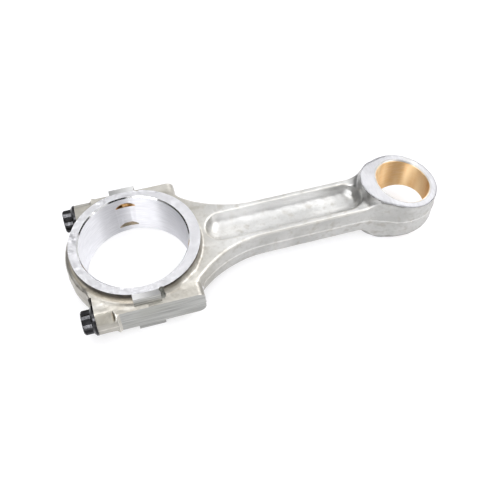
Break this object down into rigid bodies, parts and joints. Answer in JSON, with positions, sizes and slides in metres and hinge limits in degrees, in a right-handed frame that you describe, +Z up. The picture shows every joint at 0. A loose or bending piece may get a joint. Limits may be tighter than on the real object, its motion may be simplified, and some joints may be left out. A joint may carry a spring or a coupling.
{
  "type": "connecting rod",
  "caption": "Forged I-section connecting rod with a split big end, bolted bearing cap and a bushed, taper-sided piston pin eye.",
  "frame": {"origin": "centre of the crankpin housing bore, half way through the big end's width", "axes": "+X along the rod from the crankpin bore to the piston pin bore, +Z along the crankpin bore's axis, so the rod lies flat with +Z up"},
  "size_m": [0.2956, 0.1172, 0.0486],
  "materials": {
    "rod_steel": "shot-blasted forging with ground faces and bores",
    "cap_steel": "shot-blasted forging with ground faces and bores",
    "black_oxide": "black oxide, satin",
    "bronze": "fine-bored bronze, satin"
  },
  "bodies": {
    "rod_body": {"rod": "rod_steel", "bush": "bronze"},
    "cap_body": {"cap": "cap_steel"},
    "bolt_near_body": {"bolt_near": "black_oxide"},
    "bolt_far_body": {"bolt_far": "black_oxide"}
  },
  "joints": [
    {"name": "cap_lift", "type": "slide", "parent": "rod_body", "child": "cap_body", "axis": [-1, 0, 0], "range_m": [0, 0.0315]},
    {"name": "bolt_near_turn", "type": "hinge", "parent": "cap_body", "child": "bolt_near_body", "pos_m": [-0.0388, -0.0474, 0], "axis": [-1, 0, 0], "range_deg": [0, 7560]},
    {"name": "bolt_far_turn", "type": "hinge", "parent": "cap_body", "child": "bolt_far_body", "pos_m": [-0.0388, 0.0474, 0], "axis": [-1, 0, 0], "range_deg": [0, 7560]}
  ],
  "couplings": [
    {"joint": "bolt_near_turn", "follows": "cap_lift", "rad_per_m": 4188.8},
    {"joint": "bolt_far_turn", "follows": "cap_lift", "rad_per_m": 4188.8}
  ]
}
